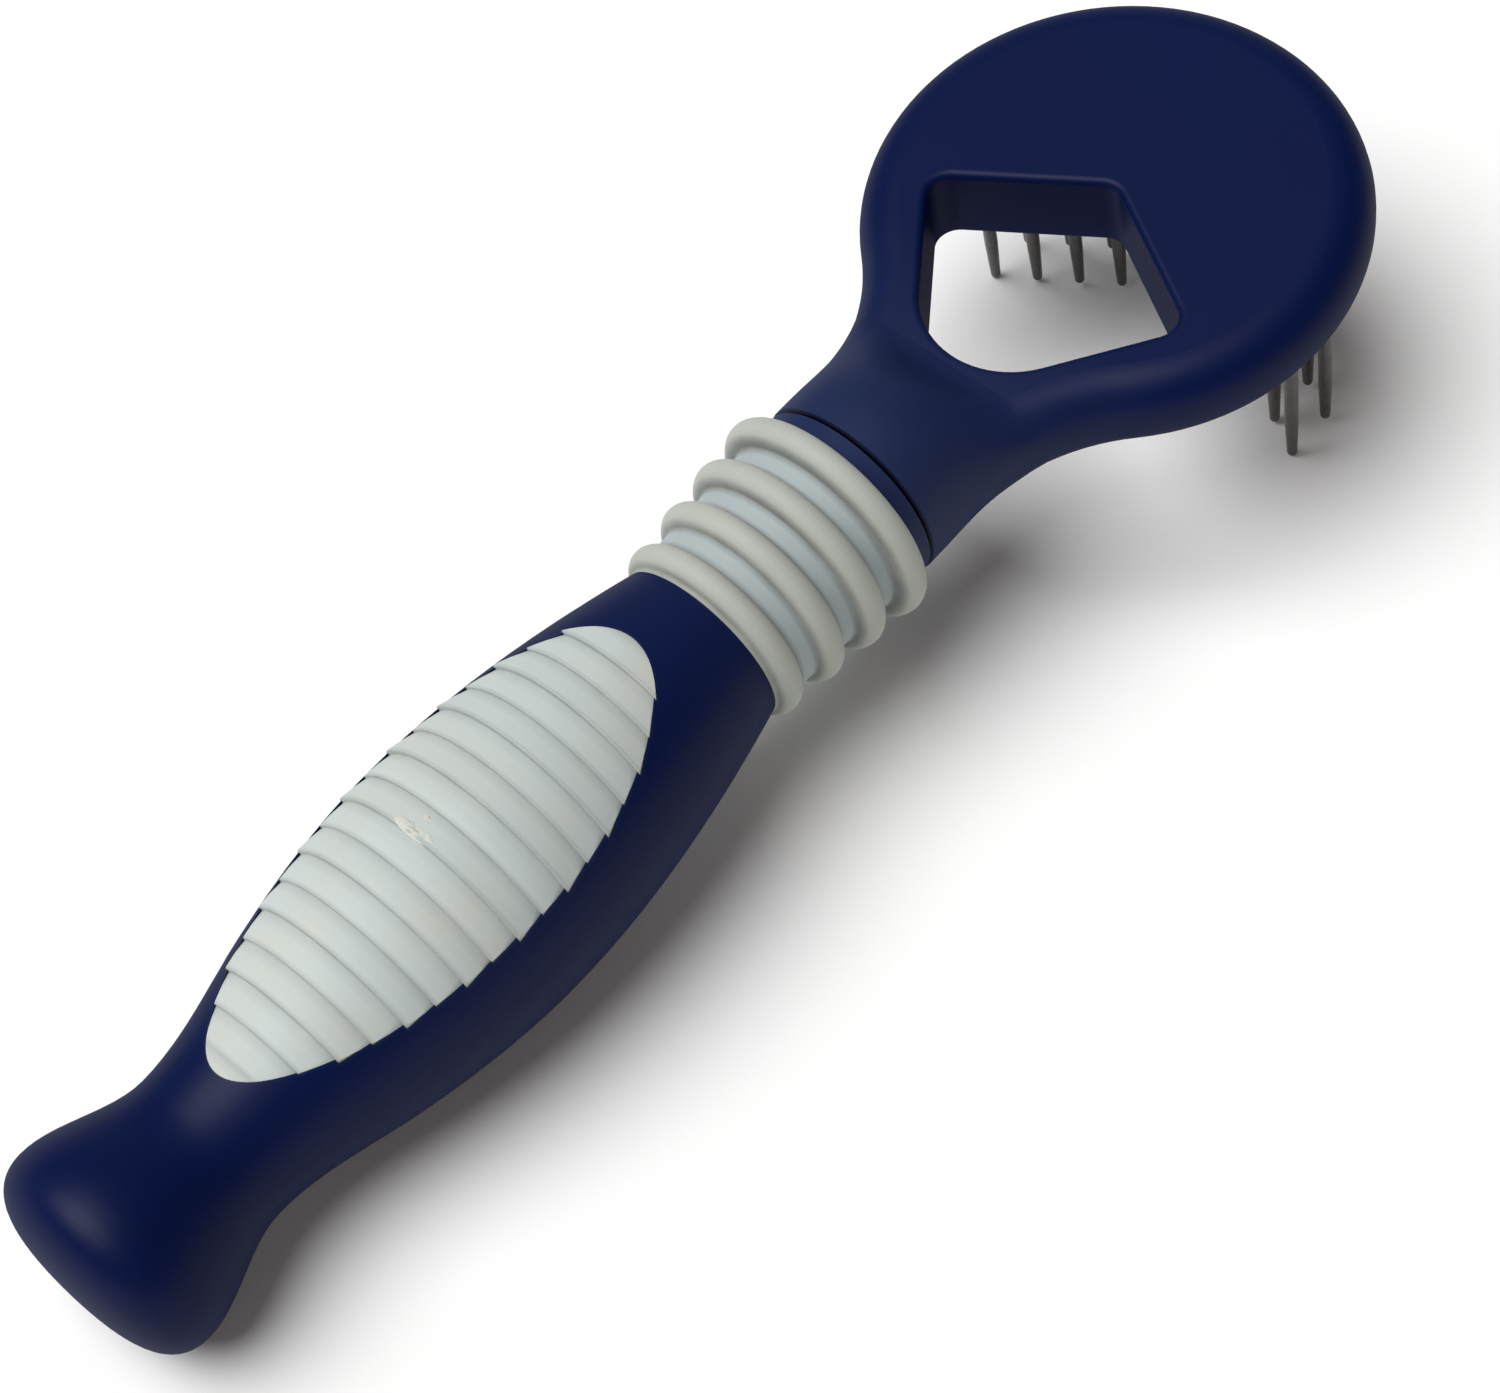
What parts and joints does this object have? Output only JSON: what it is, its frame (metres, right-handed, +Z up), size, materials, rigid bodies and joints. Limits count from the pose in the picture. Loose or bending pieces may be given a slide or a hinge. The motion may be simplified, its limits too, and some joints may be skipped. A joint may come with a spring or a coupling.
{
  "type": "dematting comb",
  "caption": "Pet dematting comb: round head with a shield-shaped window and two chevron rows of steel pins, on a turned handle with soft finger rings and a shingled palm pad.",
  "frame": {"origin": "centre of the bounding box at floor level, with the comb standing on its butt and its rearmost pin tips", "axes": "+X along the comb from the butt to the head, +Y to the comb's left, +Z up, with the pins pointing down"},
  "size_m": [0.198, 0.06, 0.0404],
  "materials": {
    "navy_plastic": "fine satin moulded plastic",
    "ring_rubber": "warm pale grey soft-touch rubber",
    "pad_rubber": "pale green-grey soft-touch rubber",
    "pin_steel": "drawn stainless wire"
  },
  "bodies": {
    "root": {"head_shell": "navy_plastic", "pin_plate": "navy_plastic", "handle_core": "navy_plastic", "ring_sleeve": "ring_rubber", "palm_pad": "pad_rubber", "inner_pin_01": "pin_steel", "inner_pin_02": "pin_steel", "inner_pin_03": "pin_steel", "inner_pin_04": "pin_steel", "inner_pin_05": "pin_steel", "inner_pin_06": "pin_steel", "inner_pin_07": "pin_steel", "inner_pin_08": "pin_steel", "inner_pin_09": "pin_steel", "inner_pin_10": "pin_steel", "inner_pin_11": "pin_steel", "outer_pin_01": "pin_steel", "outer_pin_02": "pin_steel", "outer_pin_03": "pin_steel", "outer_pin_04": "pin_steel", "outer_pin_05": "pin_steel", "outer_pin_06": "pin_steel", "outer_pin_07": "pin_steel", "outer_pin_08": "pin_steel", "outer_pin_09": "pin_steel", "outer_pin_10": "pin_steel", "outer_pin_11": "pin_steel"}
  },
  "joints": []
}
